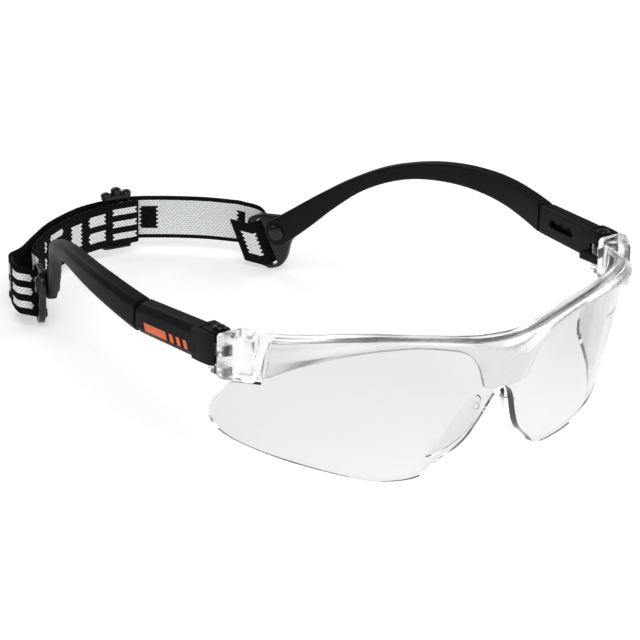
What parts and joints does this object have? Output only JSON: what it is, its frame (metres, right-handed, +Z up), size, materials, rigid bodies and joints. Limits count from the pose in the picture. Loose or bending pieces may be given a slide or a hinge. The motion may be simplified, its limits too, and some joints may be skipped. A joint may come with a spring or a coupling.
{
  "type": "sports protective goggles",
  "caption": "Clear wrap-round protective eye shield in a half-rim brow frame, with folding length-adjustable temples and an elastic webbing strap with a slider",
  "frame": {"origin": "Under the middle of the bounding box, on the level of the surface the goggles rest on.", "axes": "+Y runs from the shield back to the strap, +X to the wearer's left and +Z up. The wearer looks along -Y. Resting pose: lens bottoms and strap carriers on the surface, temples open, arms pushed in."},
  "size_m": [0.158, 0.2212, 0.0495],
  "materials": {
    "clear_frame": "moulded clear polycarbonate, polished",
    "clear_lens": "clear polycarbonate sheet, hard-coated and glossy",
    "soft_clear": "soft clear elastomer, satin",
    "black_plastic": "moulded black nylon, satin",
    "gloss_black": "moulded black acetal, glossy",
    "screw_steel": "blackened steel",
    "webbing": "woven elastic webbing in black and white"
  },
  "bodies": {
    "front": {"front_frame": "clear_frame", "lens_shield": "clear_lens", "nose_pad_left": "soft_clear", "nose_pad_right": "soft_clear", "hinge_screw_left": "screw_steel", "hinge_screw_right": "screw_steel", "strap_webbing": "webbing", "strap_return_layer": "webbing"},
    "temple_left": {"temple_housing_left": "black_plastic"},
    "temple_right": {"temple_housing_right": "black_plastic"},
    "arm_left": {"temple_arm_left": "black_plastic"},
    "arm_right": {"temple_arm_right": "black_plastic"},
    "carrier_left": {"strap_carrier_left": "gloss_black", "carrier_stud_left": "gloss_black", "strap_loop_left": "webbing"},
    "carrier_right": {"strap_carrier_right": "gloss_black", "carrier_stud_right": "gloss_black", "strap_loop_right": "webbing"},
    "slider": {"strap_slider": "gloss_black"}
  },
  "joints": [
    {"name": "temple_fold_left", "type": "hinge", "parent": "front", "child": "temple_left", "pos_m": [0.0708, -0.0674, 0.0415], "axis": [0, 0, 1], "range_deg": [0, 70], "deforming": ["strap_webbing", "strap_return_layer"]},
    {"name": "temple_fold_right", "type": "hinge", "parent": "front", "child": "temple_right", "pos_m": [-0.0708, -0.0674, 0.0415], "axis": [0, 0, -1], "range_deg": [0, 52]},
    {"name": "arm_slide_left", "type": "slide", "parent": "temple_left", "child": "arm_left", "axis": [0.0926, 0.9957, 0], "range_m": [0, 0.006]},
    {"name": "arm_slide_right", "type": "slide", "parent": "temple_right", "child": "arm_right", "axis": [-0.0926, 0.9957, 0], "range_m": [0, 0.006]},
    {"name": "carrier_swivel_left", "type": "hinge", "parent": "arm_left", "child": "carrier_left", "pos_m": [0.0446, 0.0615, 0.0148], "axis": [0.9037, 0.4281, 0], "range_deg": [-30, 30]},
    {"name": "carrier_swivel_right", "type": "hinge", "parent": "arm_right", "child": "carrier_right", "pos_m": [-0.0446, 0.0615, 0.0148], "axis": [-0.9037, 0.4281, 0], "range_deg": [-30, 30]},
    {"name": "slider_slide", "type": "slide", "parent": "front", "child": "slider", "axis": [-0.9932, 0.1161, 0], "range_m": [-0.006, 0.006]}
  ]
}
